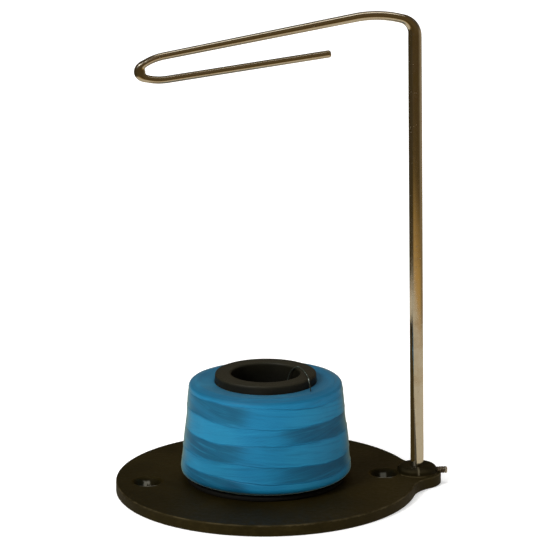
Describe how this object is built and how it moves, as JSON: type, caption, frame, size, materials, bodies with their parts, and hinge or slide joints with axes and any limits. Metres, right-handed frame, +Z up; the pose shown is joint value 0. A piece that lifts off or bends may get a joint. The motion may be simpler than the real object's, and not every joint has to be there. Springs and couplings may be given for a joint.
{
  "type": "spool holder stand",
  "caption": "Round weighted base plate with a spool of thread on a centre pin and a bent rod in an edge lug, ending in a hairpin thread guide over the spool.",
  "frame": {"origin": "centre of the base plate's underside, midway between the two mounting holes", "axes": "+Z up along the spool's axis, +X towards the lug that holds the guide rod, mounting holes on the X axis"},
  "size_m": [0.1594, 0.1438, 0.2301],
  "materials": {
    "plate": "dark brown-black enamel, satin, slightly uneven",
    "pin_steel": "turned steel",
    "screw_steel": "bright zinc plated",
    "rod": "polished nickel or chrome plate",
    "core": "moulded black, fine grain",
    "thread": "wound embroidery thread, blue, silky sheen in bands",
    "thread_loose": "loose end of the same thread"
  },
  "bodies": {
    "stand": {"base_plate": "plate", "spool_pin": "pin_steel", "pin_screw": "screw_steel"},
    "guide": {"guide_rod": "rod"},
    "clamp": {"clamp_screw": "screw_steel"},
    "spool": {"spool_core": "core", "thread_winding": "thread", "thread_tail": "thread_loose"}
  },
  "joints": [
    {"name": "spool_spin", "type": "hinge", "parent": "stand", "child": "spool", "pos_m": [0, 0, 0.0054], "axis": [0, 0, 1], "continuous": true},
    {"name": "guide_swivel", "type": "hinge", "parent": "stand", "child": "guide", "pos_m": [0.0729, 0, 0.0015], "axis": [0, 0, 1], "continuous": true},
    {"name": "clamp_turn", "type": "hinge", "parent": "stand", "child": "clamp", "pos_m": [0.0815, 0, 0.0059], "axis": [1, 0, 0], "range_deg": [0, 720]}
  ]
}
